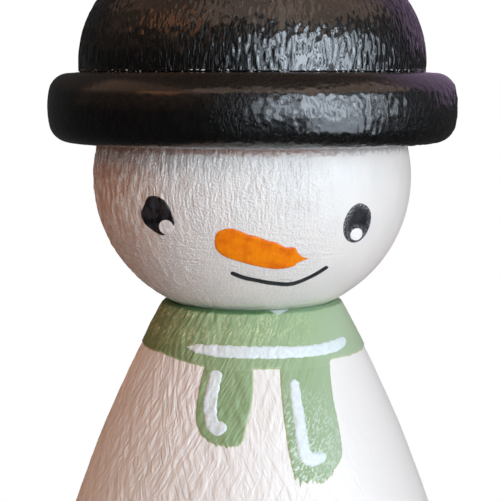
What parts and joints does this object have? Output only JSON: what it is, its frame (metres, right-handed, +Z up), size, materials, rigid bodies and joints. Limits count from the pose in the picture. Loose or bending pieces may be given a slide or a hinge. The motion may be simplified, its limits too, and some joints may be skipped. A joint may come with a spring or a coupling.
{
  "type": "peg doll",
  "caption": "Painted wooden snowman peg doll: bell-shaped body with a painted scarf, ball head with a carrot nose, and a round black hat that turns and lifts off its peg.",
  "frame": {"origin": "centre of the flat foot, on the surface that the doll stands on", "axes": "+Z up along the turned axis, -Y towards the viewer that the face looks at, +X to that viewer's right"},
  "size_m": [0.0456, 0.0456, 0.0803],
  "materials": {
    "body_cream": "warm cream matt acrylic brushed over turned wood",
    "head_white": "off-white eggshell acrylic over turned wood with raised grain",
    "hat_black": "black satin acrylic over turned wood with raised grain",
    "bare_beech": "bare beech",
    "scarf_green": "sage green matt acrylic film",
    "pale_stroke": "bluish white acrylic film",
    "eye_black": "black satin acrylic film",
    "glint_white": "white acrylic film",
    "nose_orange": "orange satin acrylic film",
    "smile_ink": "dark slate pigment pen line"
  },
  "bodies": {
    "doll": {"body": "body_cream", "neck_dowel": "bare_beech", "head": "head_white", "scarf_band": "scarf_green", "scarf_tail_short": "scarf_green", "scarf_tail_long": "scarf_green", "scarf_band_stroke": "pale_stroke", "short_tail_stroke": "pale_stroke", "long_tail_stroke": "pale_stroke", "left_eye": "eye_black", "right_eye": "eye_black", "left_eye_glint": "glint_white", "right_eye_glint": "glint_white", "nose": "nose_orange", "smile": "smile_ink"},
    "peg": {"hat_peg": "bare_beech"},
    "hat": {"hat_brim": "hat_black", "hat_crown": "hat_black"}
  },
  "joints": [
    {"name": "hat_turn", "type": "hinge", "parent": "doll", "child": "peg", "pos_m": [0, 0, 0.071], "axis": [0, 0, 1], "continuous": true},
    {"name": "hat_lift", "type": "slide", "parent": "peg", "child": "hat", "axis": [0, 0, 1], "range_m": [0, 0.03]}
  ]
}
